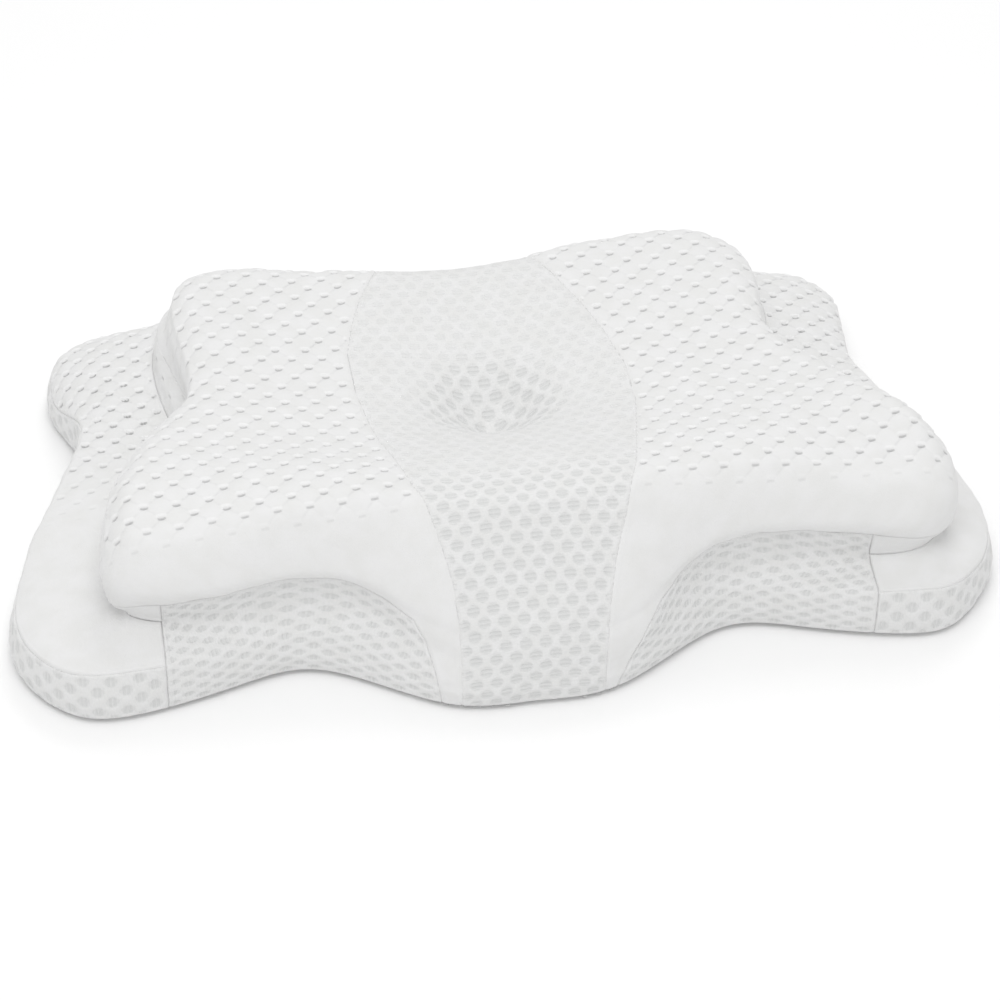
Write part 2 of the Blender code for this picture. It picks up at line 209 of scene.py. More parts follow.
def hump(x, y, shape):
    across = (np.abs(x) - shape["x"]) / shape["width"]
    along = (y - shape["y"]) / shape["length"]
    return shape["height"] * np.exp(-(across**2) - along**2)


def top_height(x, y):
    roll_y = NECK_ROLL["y"] + NECK_ROLL["bow"] * (x / 100.0) ** 2
    height = TOP_HEIGHT + NECK_ROLL["height"] * np.exp(-(((y - roll_y) / NECK_ROLL["width"]) ** 2))
    across, along = x / BASIN["width"], (y - BASIN["y"]) / BASIN["length"]
    height -= BASIN["depth"] * np.exp(-(across**2) - along**2)
    radius = np.hypot(x - DIMPLE["x"], y - DIMPLE["y"]) / DIMPLE["radius"]
    height -= DIMPLE["depth"] * np.exp(-(radius ** DIMPLE["power"]))
    height += SIDE_RISE["height"] * (x / SIDE_RISE["x"]) ** 2
    return height + hump(x, y, FRONT_CORNER)


def outward(before, after):
    along = after - before
    across = np.stack([along[:, 1], -along[:, 0]], 1)
    return across / np.linalg.norm(across, axis=1)[:, None]


def station_table():
    half = np.array(STATIONS, float)
    table = np.concatenate([half, half[-2:0:-1]])
    table[len(half):, [COLUMNS.index("base_x"), COLUMNS.index("plate_x")]] *= -1.0
    table[:, COLUMNS.index("plate_x")] += PLATE_SHIFT
    for station, column, change in LEFT_CHANGES:
        table[len(table) - station, COLUMNS.index(column)] += change
    return table


TABLE = station_table()
MIDDLE = np.array([DIMPLE["x"], DIMPLE["y"]])


def rings(places):
    """Rings of the outer surface from the floor to just inside the plate's rim."""
    read = closed_curve(TABLE, places)
    before, after = (closed_curve(TABLE, places + reach) for reach in (-OUTWARD_REACH, OUTWARD_REACH))
    s = {name: read[:, [index]] for index, name in enumerate(COLUMNS)}
    base, plate = read[:, 0:2], read[:, 2:4]
    base_out, plate_out = (outward(before[:, xy], after[:, xy]) for xy in (slice(0, 2), slice(2, 4)))
    seam = base - base_out * s["seam_in"]
    foot = plate - plate_out * s["foot_in"]
    lip = plate - plate_out * s["lip_in"]
    crown = seam + (foot - seam) * s["crown_part"]
    found = [(base - base_out * inside, height) for height, inside in BOTTOM_ROUND]
    found += [
        ((base + seam) / 2 + base_out * GUSSET_BULGE, (BOTTOM_ROUND[-1][0] + s["seam_z"]) / 2),
        (seam, s["seam_z"]),
        (seam + (crown - seam) * 0.25, (s["seam_z"] + s["crown_z"]) / 2),
        (crown, s["crown_z"]),
        (foot, s["foot_z"]),
        (foot * 0.6 + lip * 0.4, (s["foot_z"] + s["lip_z"]) / 2),
        (lip, s["lip_z"]),
        (plate - plate_out * s["lip_in"] * 0.3, (s["lip_z"] + s["nose_z"]) / 2),
        (plate, s["nose_z"]),
    ]
    inward = (MIDDLE - plate) / np.linalg.norm(MIDDLE - plate, axis=1)[:, None]
    facing = -(inward * plate_out).sum(1)
    steered = inward / np.maximum(facing, LEAST_FACING)[:, None]
    for part in EDGE_PARTS:
        turn = part * np.pi / 2
        inside = s["round_in"] * ((1 - s["slope"]) * (1 - np.cos(turn)) + s["slope"] * part)
        share = (1 - s["slope"]) * np.sin(turn) + s["slope"] * part
        edge = plate + steered * inside
        height = top_height(edge[:, :1], edge[:, 1:])
        found.append((edge, s["nose_z"] + (height - s["nose_z"]) * share))
    inner = edge + inward * PAST_RIM
    found.append((inner, top_height(inner[:, :1], inner[:, 1:])))
    return np.array([np.hstack([line, height + 0 * line[:, :1]]) for line, height in found])


def smooth_profile(lines, steps):
    """Rows between the rings, on a centripetal curve up each column."""
    def gap(a, b):
        return np.sqrt(np.maximum(np.linalg.norm(b - a, axis=1), 1e-6))[:, None]

    found = []
    for ring in range(RIM_RING):
        p = [lines[min(max(ring + k, 0), len(lines) - 1)] for k in (-1, 0, 1, 2)]
        t = [0.0 * p[0][:, :1]]
        for k in range(3):
            t.append(t[-1] + gap(p[k], p[k + 1]))

        def blend(a, b, start, end, at):
            return (a * (end - at) + b * (at - start)) / (end - start)

        for step in range(steps):
            at = t[1] + (t[2] - t[1]) * step / steps
            a = [blend(p[k], p[k + 1], t[k], t[k + 1], at) for k in range(3)]
            b = [blend(a[k], a[k + 1], t[k], t[k + 2], at) for k in range(2)]
            found.append(blend(b[0], b[1], t[1], t[2], at))
    return np.array(found + [lines[RIM_RING]])


def look_up(table, row, column, closed=True):
    """Reads a table at fractional rows and columns. A closed one goes round in its columns."""
    height, width = table.shape[:2]
    row = np.clip(row, 0, height - 1.001)
    r = np.floor(row).astype(int)
    c = np.floor(column).astype(int)
    if closed:
        c, after = c % width, (c + 1) % width
        part = column - np.floor(column)
    else:
        c = np.clip(c, 0, width - 2)
        after = c + 1
        part = np.clip(column - c, 0, 1)
    up = row - r
    if table.ndim == 3:
        up, part = up[..., None], part[..., None]
    low = table[r, c] * (1 - part) + table[r, after] * part
    high = table[r + 1, c] * (1 - part) + table[r + 1, after] * part
    return low * (1 - up) + high * up


def seam_half(table, place, x):
    """Half-width that a seam table gives at a place, on the side that x lies on."""
    table = np.array(table, float)
    left, right = (np.interp(place, table[:, 0], table[:, side]) for side in (1, 2))
    return np.where(x < 0, left, right)


def past_centre(points):
    return np.abs(points[..., 0]) - seam_half(CENTRE_SEAM, points[..., 1], points[..., 0])


def past_strip(points):
    out = np.abs(points[..., 0]) - seam_half(STRIP_EDGE, points[..., 2], points[..., 0])
    return np.where(points[..., 1] < FRONT_Y, out, FAR)


def past_end(points):
    return np.where(points[..., 1] < FRONT_Y, np.abs(points[..., 0]) - WING_END_X, FAR)


class Side:
    """The pillow's side and rounded edge as a fine table, one column for each place round it."""

    def __init__(self):
        self.columns = len(TABLE) * STATION_STEPS
        places = np.arange(self.columns) / STATION_STEPS
        self.points = smooth_profile(rings(places), RING_STEPS)
        coarse = rings(np.arange(len(TABLE) * PART_STEPS) / PART_STEPS)[: RIM_RING + 1].reshape(-1, 3)
        self.shift = np.append((coarse.min(0) + coarse.max(0))[:2] / 2, 0.0)
        steps = np.linalg.norm(np.diff(self.points, axis=0), axis=2)
        self.up = np.vstack([np.zeros(self.columns), np.cumsum(steps, 0)])
        self.rim = self.points[-1, :, :2]
        from_middle = self.rim - MIDDLE
        self.reach = np.linalg.norm(from_middle, axis=1)
        self.angle = np.unwrap(np.arctan2(from_middle[:, 1], from_middle[:, 0]))
        self.depth, self.down = self.by_length()

    def by_length(self):
        """Points by length down from the rim, and that length at each row."""
        down = self.up[-1] - self.up
        count = int(down.max() / ARC_STEP) + 2
        lengths = np.arange(count) * ARC_STEP
        rows = np.array([
            np.interp(lengths, down[::-1, c], np.arange(len(down))[::-1]) for c in range(self.columns)
        ]).T
        column = np.broadcast_to(np.arange(self.columns), rows.shape).astype(float)
        return look_up(self.points, rows, column), down

    def row(self, ring):
        return int(ring * RING_STEPS)

    def column_at(self, angle):
        turned = (angle - self.angle[0]) % (2 * np.pi) + self.angle[0]
        ends = np.append(self.angle, self.angle[0] + 2 * np.pi)
        return np.interp(turned, ends, np.arange(self.columns + 1))


SIDE = Side()


def normals_of(points, triangles):
    corners = points[triangles]
    across = np.cross(corners[:, 1] - corners[:, 0], corners[:, 2] - corners[:, 0])
    normals = np.stack([
        sum(np.bincount(triangles[:, k], across[:, axis], len(points)) for k in range(3))
        for axis in range(3)
    ], 1)
    return normals / np.maximum(np.linalg.norm(normals, axis=1), 1e-9)[:, None]


def clip(rows, triangles, field):
    """Cuts a triangle mesh where one of its columns is zero, and keeps the positive side."""
    values = np.where(np.abs(rows[:, field]) < LEAST_CUT, LEAST_CUT, rows[:, field])
    inside = values > 0
    kinds = inside[triangles].sum(1)
    whole = triangles[kinds == 3]
    made = []
    ends = []
    for count in (1, 2):
        part = triangles[kinds == count]
        odd = inside[part] if count == 1 else ~inside[part]
        first = odd.argmax(1)
        turn = (first[:, None] + np.arange(3)) % 3
        a, b, c = np.take_along_axis(part, turn, 1).T
        ends.append((np.stack([a, b], 1), np.stack([a, c], 1), b, c, count))
    edges = np.concatenate([e for pair in ends for e in pair[:2]])
    edges = np.sort(edges, 1)
    unique, index = np.unique(edges, axis=0, return_inverse=True)
    index = index.reshape(-1) + len(rows)
    start, stop = rows[unique[:, 0]], rows[unique[:, 1]]
    before, after = values[unique[:, 0]], values[unique[:, 1]]
    new = start + (stop - start) * (before / (before - after))[:, None]
    new[:, field] = 0.0
    place = 0
    for first, _, b, c, count in ends:
        on_first = index[place: place + len(first)]
        on_second = index[place + len(first): place + 2 * len(first)]
        place += 2 * len(first)
        if count == 1:
            made.append(np.stack([first[:, 0], on_first, on_second], 1))
        else:
            made.append(np.stack([on_first, b, c], 1))
            made.append(np.stack([on_first, c, on_second], 1))
    rows = np.vstack([rows, new])
    triangles = np.concatenate([whole, *made])
    used, number = np.unique(triangles, return_inverse=True)
    return rows[used], number.reshape(-1, 3)


def grid_triangles(height, width, keep=None):
    """Two triangles for each cell of a grid, with alternate diagonals."""
    r, c = np.mgrid[0:height - 1, 0:width - 1]
    a = r * width + c
    b, d, e = a + 1, a + width, a + width + 1
    even = (r + c) % 2 == 0
    if keep is not None:
        cell = keep.reshape(height, width)
        used = cell[:-1, :-1] & cell[1:, :-1] & cell[:-1, 1:] & cell[1:, 1:]
    else:
        used = np.ones_like(even)
    found = []
    for chosen, (first, second) in ((even, ((a, b, e), (a, e, d))), (~even, ((a, b, d), (b, e, d)))):
        mask = chosen & used
        found += [np.stack([corner[mask] for corner in t], 1) for t in (first, second)]
    return np.concatenate(found)


# Columns of a panel's rows: place 0:3, cloth 3:5, distance to its nearest seam 5, how strong its
# pattern is 6, the height of folds that belong to the panel alone 7, how little its seam shows 8
EDGE, PATTERN, FOLDS, PLAIN = 5, 6, 7, 8


def smooth_step(value, low, high):
    t = np.clip((value - low) / (high - low), 0, 1)
    return t * t * (3 - 2 * t)


def wall_only(places):
    """1 on the left back, where the wall between the plate and the wing looks like one piece."""
    return smooth_step(places[:, 1], *WALL_STARTS) * (places[:, 0] < 0)


def top_panel(sign):
    """A jacquard panel beside the centre: the plate's top and edge, and the strip in front of it."""
    x = np.arange(*TOP_CLOTH["x"], JACQUARD_SPACING) * sign
    y = np.arange(*TOP_CLOTH["y"], JACQUARD_SPACING)
    qx, qy = (v.ravel() for v in np.meshgrid(x, y))
    away = np.stack([qx, qy], 1) - MIDDLE
    column = SIDE.column_at(np.arctan2(away[:, 1], away[:, 0]))
    reach = look_up(np.stack([SIDE.reach, SIDE.reach]), 0 * column, column)
    length = np.linalg.norm(away, axis=1) - reach
    outside = look_up(SIDE.depth, np.maximum(length, 0) / ARC_STEP, column)
    inside = np.stack([qx, qy, top_height(qx, qy)], 1)
    places = np.where((length > 0)[:, None], outside, inside)
    lip, bottom = (
        look_up(np.stack([SIDE.down[SIDE.row(ring)]] * 2), 0 * column, column) - length
        for ring in (LIP_RING, BOTTOM_RING)
    )
    on_wall = np.maximum(lip, -past_strip(places))
    centre = np.where(places[:, 0] * sign > 0, past_centre(places), -FAR)
    edge = np.minimum(np.minimum(centre, bottom), on_wall) + SEAM_OVERLAP
    line = look_up(np.stack([SIDE.down[SIDE.row(RIM_LINE_RING)]] * 2), 0 * column, column)
    past = length - line
    beside = (past - RIM_LINE["hollow_at"]) / RIM_LINE["hollow_width"]
    sewn = RIM_LINE["height"] * np.exp(-((past / RIM_LINE["width"]) ** 2))
    sewn -= RIM_LINE["hollow"] * np.exp(-(beside**2))
    if sign > 0:
        sewn *= RIM_LINE["right_share"]
    sewn *= smooth_step(places[:, 1], *RIM_LINE["starts"])
    fade = smooth_step(places[:, 1], *TOP_PATTERN["starts"])
    fade *= 1 - TOP_PATTERN["edge_loss"] * smooth_step(past, *TOP_PATTERN["edge"])
    plain = wall_only(places) * smooth_step(past, *TOP_WALL)
    rows = np.column_stack([places, qx, qy, edge, fade, sewn, plain])
    triangles = grid_triangles(len(y), len(x), edge > -CUT_MARGIN)
    rows, triangles = clip(rows, triangles, EDGE)
    return rows, triangles, JACQUARD, np.ptp(rows[:, 3:5], axis=0)


def centre_panel():
    """The mesh panel: up the neck side, over the plate, through the dimple and down the back."""
    x = np.arange(-CENTRE_HALF, CENTRE_HALF + 0.01, CENTRE_SPACING)
    bottom = len(SIDE.points) - 1 - SIDE.row(BOTTOM_RING)
    walls = {}
    for name, middle, span in CENTRE_WALLS:
        columns = np.arange(int((middle - span) * STATION_STEPS), int((middle + span) * STATION_STEPS))
        line = SIDE.points[::-1][:, columns % SIDE.columns]
        if name == "back":
            line = line[:, ::-1]
        at_x = np.array([[np.interp(x, r[:, 0], r[:, axis]) for axis in (1, 2)] for r in line])
        steps = np.linalg.norm(np.diff(at_x, axis=0), axis=1)
        arc = np.vstack([0 * x, np.cumsum(steps, 0)])
        walls[name] = at_x, arc
    front, back = walls["front"], walls["back"]
    low_y, high_y = front[0][0, 0], back[0][0, 0]
    front_end = low_y.min() - front[1][bottom].max()
    back_end = high_y.max() + back[1][bottom].max()
    s = np.arange(front_end - CLOTH_SPARE, back_end + CLOTH_SPARE, CENTRE_SPACING)
    places = np.zeros((len(s), len(x), 3))
    below = np.zeros((len(s), len(x)))
    for k, at in enumerate(x):
        y, z = s.copy(), top_height(at + 0 * s, s)
        for (line, arc), past in ((front, low_y[k] - s), (back, s - high_y[k])):
            over = past > 0
            y[over] = np.interp(past[over], arc[:, k], line[:, 0, k])
            z[over] = np.interp(past[over], arc[:, k], line[:, 1, k])
        places[:, k] = np.stack([at + 0 * s, y, z], 1)
        ends = front[1][bottom, k] - (low_y[k] - s), back[1][bottom, k] - (s - high_y[k])
        below[:, k] = np.minimum(*ends)
    places = places.reshape(-1, 3)
    cloth = np.column_stack([np.tile(x, len(s)), np.repeat(s, len(x))])
    edge = np.minimum(-past_centre(places), below.ravel()) + SEAM_OVERLAP
    from_dimple = np.hypot(places[:, 0] - DIMPLE["x"], places[:, 1] - DIMPLE["y"])
    flat = smooth_step(places[:, 1], *CENTRE_FLAT["starts"])
    flat *= smooth_step(from_dimple, *CENTRE_FLAT["dimple"])
    rows = np.column_stack([places, cloth, edge, 1 - (1 - FLAT_PATTERN) * flat, 0 * edge, 0 * edge])
    triangles = grid_triangles(len(s), len(x), edge > -CUT_MARGIN)
    rows, triangles = clip(rows, triangles, EDGE)
    return rows, triangles, HEX, np.ptp(rows[:, 3:5], axis=0)


def crossing(rows, stations, field):
    """Column at which a field changes sign on each row, within a stretch of stations."""
    first, last = (int(round(s * STATION_STEPS)) for s in stations)
    columns = np.arange(first, last + (1 if last > first else -1), 1 if last > first else -1)
    values = field(SIDE.points[rows][:, columns % SIDE.columns])
    change = (values[:, :-1] > 0) != (values[:, 1:] > 0)
    index = change.argmax(1)
    line = np.arange(len(values))
    before, after = values[line, index], values[line, index + 1]
    step = columns[1] - columns[0]
    return columns[index] + step * before / (before - after)


def mirrored(stations, sign):
    return stations if sign > 0 else tuple(len(TABLE) - s for s in stations)


def wall_panel(low, high, start, end, sign, repeat, pattern):
    """A panel between two rings and two seams that run up the side."""
    all_rows = np.arange(SIDE.row(low), SIDE.row(high) + 1)
    begin = crossing(all_rows, mirrored(start[0], sign), start[1])
    stop = crossing(all_rows, mirrored(end[0], sign), end[1])
    up = SIDE.up[all_rows] - SIDE.up[all_rows[0]]
    three_turns = np.arange(-SIDE.columns, 2 * SIDE.columns)
    measured = [begin[-1], (begin[-1] + stop[-1]) / 2, stop[-1]]
    height = np.interp(measured, three_turns, np.tile(up[-1], 3)).max()
    count_up = int(height / WALL_SPACING) + 2
    middle = len(all_rows) // 2
    line = SIDE.points[all_rows[middle]]
    steps = np.linalg.norm(np.diff(np.vstack([line, line[:1]]), axis=0), axis=1)
    around = np.append(0.0, np.cumsum(steps))

    def along(column):
        turns, rest = np.floor(column / SIDE.columns), column % SIDE.columns
        return turns * around[-1] + np.interp(rest, np.arange(SIDE.columns + 1), around)

    length = abs(along(stop[middle]) - along(begin[middle]))
    count_along = int(length / WALL_SPACING) + 2
    fine = np.linspace(begin[middle], stop[middle], SHARE_SAMPLES)
    walked = np.abs(along(fine) - along(fine[0])) / length
    share = np.interp(np.linspace(0, 1, count_along), walked, np.linspace(0, 1, SHARE_SAMPLES))
    row = np.linspace(0, len(all_rows) - 1, count_up)
    first, last = (np.interp(row, np.arange(len(all_rows)), c) for c in (begin, stop))
    column = first[:, None] + (last - first)[:, None] * share[None, :]
    grid_row = np.broadcast_to(row[:, None], column.shape)
    places = look_up(SIDE.points[all_rows], grid_row, column)
    risen = look_up(up, grid_row, column)
    top = look_up(np.stack([up[-1], up[-1]]), 0 * column, column)
    a = along(column)
    ends = np.minimum(np.abs(a - along(column[:, :1])), np.abs(a - along(column[:, -1:])))
    edge = np.minimum(np.minimum(risen, top - risen), ends)
    rows = np.column_stack([
        places.reshape(-1, 3), a.ravel(), risen.ravel(), edge.ravel(), 1 + 0 * edge.ravel(),
        0 * edge.ravel(), 0 * edge.ravel(),
    ])
    rows[:, PATTERN] = pattern(rows)
    return rows, grid_triangles(count_up, count_along), repeat, (length, height)


FRONT_END = ((2.7, 4.2), past_end)
BACK_CENTRE = ((10.9, 12.0), past_centre)
STRIP_SIDE = ((0.0, 2.4), past_strip)


def even(rows):
    return 1 + 0 * rows[:, 0]


def fading(shown):
    """A pattern that starts on the way back along the pillow."""
    return lambda rows: shown["strength"] * smooth_step(rows[:, 1], *shown["starts"])


def wing_gusset(sign):
    return wall_panel(BOTTOM_RING, GUSSET_RING, FRONT_END, BACK_CENTRE, sign, GUSSET_HEX, even)


def unrolled(rows):
    """Flat cloth places of a wall panel: its top row as seen from above, unrolled down its slope."""
    width = np.count_nonzero(rows[:, 4] == 0)  # points in its lowest row
    places = rows[:, :3].reshape(-1, width, 3)
    normals = normals_of(rows[:, :3], grid_triangles(len(places), width)).reshape(places.shape)
    out = normals[:-1, :, :2] + normals[1:, :, :2]
    out /= np.maximum(np.linalg.norm(out, axis=2), 1e-9)[..., None]
    out *= np.sign((out * (places[0] - places[-1])[:, :2]).sum())
    down = places[:-1] - places[1:]
    level = (down[..., :2] * out).sum(2)
    drop = np.abs(down[..., 2])
    sloped = np.where(np.abs(level) > drop, np.sign(level), 1.0) * np.hypot(level, drop)
    moved = down[..., :2] + out * (sloped - level)[..., None]
    below = places[-1, :, :2] + np.cumsum(moved[::-1], 0)[::-1]
    return np.concatenate([below, places[-1:, :, :2]]).reshape(-1, 2)


def wing_panel(sign):
    pattern = fading(WING_PATTERN)
    rows, *others = wall_panel(GUSSET_RING, FOOT_RING, FRONT_END, BACK_CENTRE, sign, JACQUARD, pattern)
    along, risen = rows[:, 3], rows[:, 4]
    leaning = along + GATHER["lean"] * risen
    pleats = np.abs(np.sin(np.pi * leaning / GATHER["pitch"])) - GATHER["level"]
    strength = pattern(rows) * smooth_step(risen, *GATHER["starts"]) * np.exp(-risen / GATHER["reach"])
    rows[:, FOLDS] = GATHER["height"] * pleats * strength
    rows[:, PLAIN] = smooth_step(risen / others[-1][1], *WING_FOOT)
    rows[:, 3:5] = unrolled(rows) * (1.0, WING_ROWS)
    return rows, *others


def side_strip(sign):
    pattern = fading(STRIP_PATTERN)
    rows, *others = wall_panel(FOOT_RING, LIP_RING, FRONT_END, BACK_CENTRE, sign, JACQUARD, pattern)
    level = rows[:, 4] / others[-1][1]
    at_lip = wall_only(rows) * smooth_step(level, *STRIP_LIP)
    rows[:, PLAIN] = np.maximum(1 - smooth_step(level, *STRIP_FOOT), at_lip)
    return rows, *others


def front_mesh(sign):
    return wall_panel(BOTTOM_RING, LIP_RING, STRIP_SIDE, FRONT_END, sign, FRONT_HEX, even)


def staggered(u, v, repeat):
    """Millimetres from the middles of a repeat's cells, for each of its two sets of rows."""
    for half in (0, 1):
        across = ((u + half / 2 + 0.5) % 1.0 - 0.5) * repeat["pitch"]
        along = (((v + half) / 2 + 0.5) % 1.0 - 0.5) * 2 * repeat["row"]
        yield across, along


def jacquard_relief(u, v, repeat):
    rising, falling = (np.abs(np.sin(np.pi * (u + lean * v / 2))) ** SCALE["power"] for lean in (-1, 1))
    height = SCALE["height"] * (SCALE["rising"] * rising + SCALE["falling"] * falling - SCALE["level"])
    for across, along in staggered(u, v, repeat):
        tuck = np.exp(-((across / TUCK["half"]) ** 4) - (along / TUCK["width"]) ** 2)
        beyond = (along - TUCK["lip_at"]) / TUCK["lip_width"]
        above = np.exp(-((across / TUCK["lip_half"]) ** 4) - beyond**2)
        height += TUCK["lip"] * above - TUCK["depth"] * tuck
    return height


def cell_half(repeat):
    return repeat["pitch"] * repeat["across"], repeat["row"] * repeat["along"]


def hex_relief(u, v, repeat):
    height = 0 * u
    half_across, half_along = cell_half(repeat)
    for across, along in staggered(u, v, repeat):
        radius = np.hypot(across / half_across, along / half_along)
        height -= CELL_DEPTH / (1 + radius**6)
    return height


def unevenness(places):
    """Slow waves in the cover, the same on both sides of a seam."""
    height = 0.0
    for rise, length, angle, phase in UNEVEN:
        turn = np.radians(angle)
        along = places[:, 0] * np.cos(turn) + places[:, 1] * np.sin(turn) + UNEVEN_BEND["rise"] * places[:, 2]
        across = places[:, 1] * np.cos(turn) - places[:, 0] * np.sin(turn)
        bend = np.sin(2 * np.pi * across / (UNEVEN_BEND["length"] * length) + 2 * phase)
        height = height + rise * np.sin(2 * np.pi * along / length + phase + UNEVEN_BEND["turn"] * bend)
    return height


def seam_relief(edge, plain):
    """Groove and ridge beside a seam, by distance from it. Where plain is 1 the seam doesn't show."""
    edge = np.maximum(edge, 0)
    groove = SEAM["groove"] * np.exp(-((edge / SEAM["narrow"]) ** 2))
    ridge = SEAM["ridge"] * np.exp(-(((edge - SEAM["ridge_at"]) / SEAM["ridge_width"]) ** 2))
    draw = SEAM["draw"] * np.exp(-edge / SEAM["draw_width"])
    return (ridge - groove - draw) * (1 - plain)


def border_of(triangles):
    edges = np.concatenate([triangles[:, [0, 1]], triangles[:, [1, 2]], triangles[:, [2, 0]]])
    key = np.sort(edges, 1)
    _, index, count = np.unique(key, axis=0, return_inverse=True, return_counts=True)
    return edges[count[index.reshape(-1)] == 1]


def put_mesh(name, points, triangles, layers=(), values=()):
    """A mesh object from numpy arrays: layers are named UV maps, and values named numbers."""
    mesh = bpy.data.meshes.new(name)
    mesh.vertices.add(len(points))
    mesh.vertices.foreach_set("co", ((points - SIDE.shift) * MM).astype(np.float32).ravel())
    mesh.loops.add(3 * len(triangles))
    mesh.loops.foreach_set("vertex_index", triangles.astype(np.int32).ravel())
    mesh.polygons.add(len(triangles))
    mesh.polygons.foreach_set("loop_start", np.arange(0, 3 * len(triangles), 3, dtype=np.int32))
    for label, coordinates in layers:
        layer = mesh.uv_layers.new(name=label)
        layer.data.foreach_set("uv", coordinates[triangles].astype(np.float32).ravel())
    for label, numbers in values:
        attribute = mesh.attributes.new(label, "FLOAT", "POINT")
        attribute.data.foreach_set("value", numbers.astype(np.float32))
    mesh.update(calc_edges=True)
    mesh.validate()
    mesh.shade_smooth()
    made = bpy.data.objects.new(name, mesh)
    bpy.context.scene.collection.objects.link(made)
    return made


def sew(name, panel, relief, material, slot):
    rows, triangles, repeat, size = panel
    base = rows[:, :3]
    if (normals_of(base, triangles) * (base - UNDER_THE_MIDDLE)).sum() < 0:
        triangles = triangles[:, ::-1]
    corners = base[triangles]
    area = np.linalg.norm(np.cross(corners[:, 1] - corners[:, 0], corners[:, 2] - corners[:, 0]), axis=1)
    area = area.sum() / 2
    normals = normals_of(base, triangles)
    u, v = rows[:, 3] / repeat["pitch"], rows[:, 4] / repeat["row"]
    edge, pattern = rows[:, EDGE], rows[:, PATTERN]
    near = smooth_step(edge, *PATTERN_STARTS)
    height = relief(u, v, repeat) * pattern * near + seam_relief(edge, rows[:, PLAIN]) + rows[:, FOLDS]
    height += unevenness(base) * smooth_step(base[:, 2], *UNEVEN_STARTS)
    places = base + normals * height[:, None]
    normals = normals_of(places, triangles)
    border = border_of(triangles)
    turned, number = np.unique(border, return_inverse=True)
    number = number.reshape(-1, 2) + len(places)
    hem = places[turned] - normals[turned] * HEM
    skirt = np.concatenate([
        np.stack([border[:, 1], border[:, 0], number[:, 0]], 1),
        np.stack([border[:, 1], number[:, 0], number[:, 1]], 1),
    ])
    everything = np.concatenate([np.arange(len(places)), turned])
    layers = (
        ("Repeat", np.column_stack([u, v])[everything]),
        ("Cloth", (rows[:, 3:5] / 10)[everything]),
    )
    values = (("pattern", (pattern * near)[everything]),)
    points, faces = np.concatenate([places, hem]), np.concatenate([triangles, skirt])
    piece = put_mesh(f"{name}_cloth", points, faces, layers, values)
    piece.data.materials.append(material)
    size = np.array(size) * max(1.0, np.sqrt(area / np.prod(size) * FLAT_SPARE))
    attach(piece, "root")
    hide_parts(name)
    tuple(float(x) * MM for x in size)


def make_filling(material):
    """The filled body inside the cover, closed by its flat base."""
    lines = SIDE.points[:: FILLING["ring_step"], :: FILLING["column_step"]]
    rim = lines[-1]
    count = lines.shape[1]
    inner = []
    for share in np.linspace(1, 0, FILLING["inner_rings"])[1:-1] ** FILLING["power"]:
        flat = MIDDLE + (rim[:, :2] - MIDDLE) * share
        inner.append(np.column_stack([flat, top_height(flat[:, 0], flat[:, 1])]))
    grid = np.concatenate([lines, inner])
    pole = np.array([[*MIDDLE, top_height(*MIDDLE)]])
    places = np.concatenate([grid.reshape(-1, 3), pole])
    ring, column = np.mgrid[0:len(grid) - 1, 0:count]
    a, b = ring * count + column, ring * count + (column + 1) % count
    c, d = a + count, b + count
    last = (len(grid) - 1) * count + np.arange(count)
    fan = np.stack([last, np.roll(last, -1), np.full(count, len(places) - 1)], 1)
    quads = [np.stack([k.ravel() for k in t], 1) for t in ((a, b, d), (a, d, c))]
    triangles = np.concatenate([*quads, fan])
    normals = normals_of(places, triangles)
    places = places - normals * FILLING["inset"]
    line = grid[0, :, :2]
    out = outward(np.roll(line, 1, 0), np.roll(line, -1, 0))
    places[:count, :2] = line - out * FILLING["inset"]
    places[:count, 2] = 0.0
    centre = np.array([[0.0, 0.0, 0.0]])
    floor = np.stack([np.roll(np.arange(count), -1), np.arange(count), np.full(count, len(places))], 1)
    piece = put_mesh("filling", np.concatenate([places, centre]), np.concatenate([triangles, floor]))
    piece.data.materials.append(material)
    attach(piece, "root")
    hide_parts("pillow_body")
    return piece


